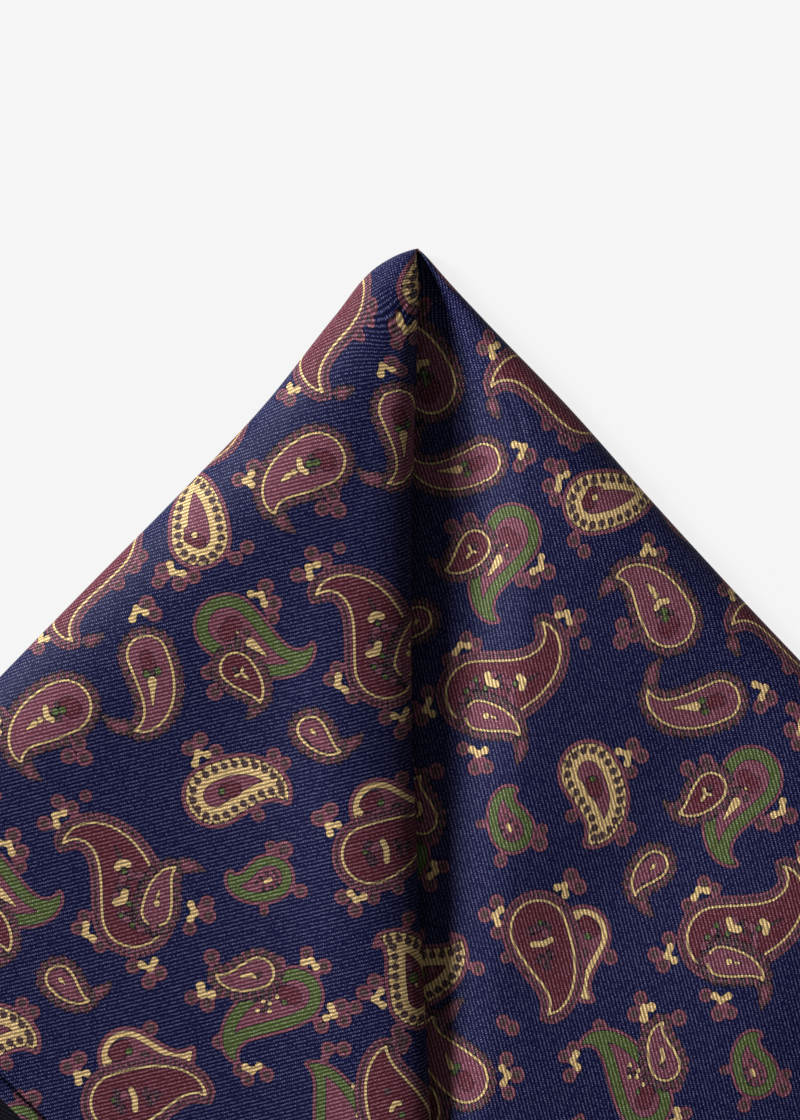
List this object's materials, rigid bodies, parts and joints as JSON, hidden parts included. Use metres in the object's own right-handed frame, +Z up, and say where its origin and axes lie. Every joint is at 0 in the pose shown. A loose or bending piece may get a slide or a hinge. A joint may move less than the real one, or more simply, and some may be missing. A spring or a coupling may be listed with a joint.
{
  "type": "pocket square",
  "caption": "Silk pocket square with a paisley print, folded to a single peak with a knife pleat down the middle and lying flat, its narrow turned hems layered along the lower edges.",
  "frame": {"origin": "The middle of the underside, on the surface that the cloth lies on.", "axes": "+Z is up out of the surface, +Y points from the hem to the peak, and +X points to the right-hand lobe seen from above."},
  "size_m": [0.2348, 0.2448, 0.0114],
  "materials": {
    "printed_silk": "satin",
    "turned_hem": "satin",
    "wrong_side": "matte"
  },
  "bodies": {
    "root": {"front_left_lobe": "printed_silk", "front_right_lobe": "printed_silk", "front_left_hem": "turned_hem", "front_right_hem": "turned_hem", "back_left_lobe": "printed_silk", "back_right_lobe": "printed_silk", "back_left_hem": "turned_hem", "back_right_hem": "turned_hem", "folded_layers": "wrong_side"}
  },
  "joints": []
}
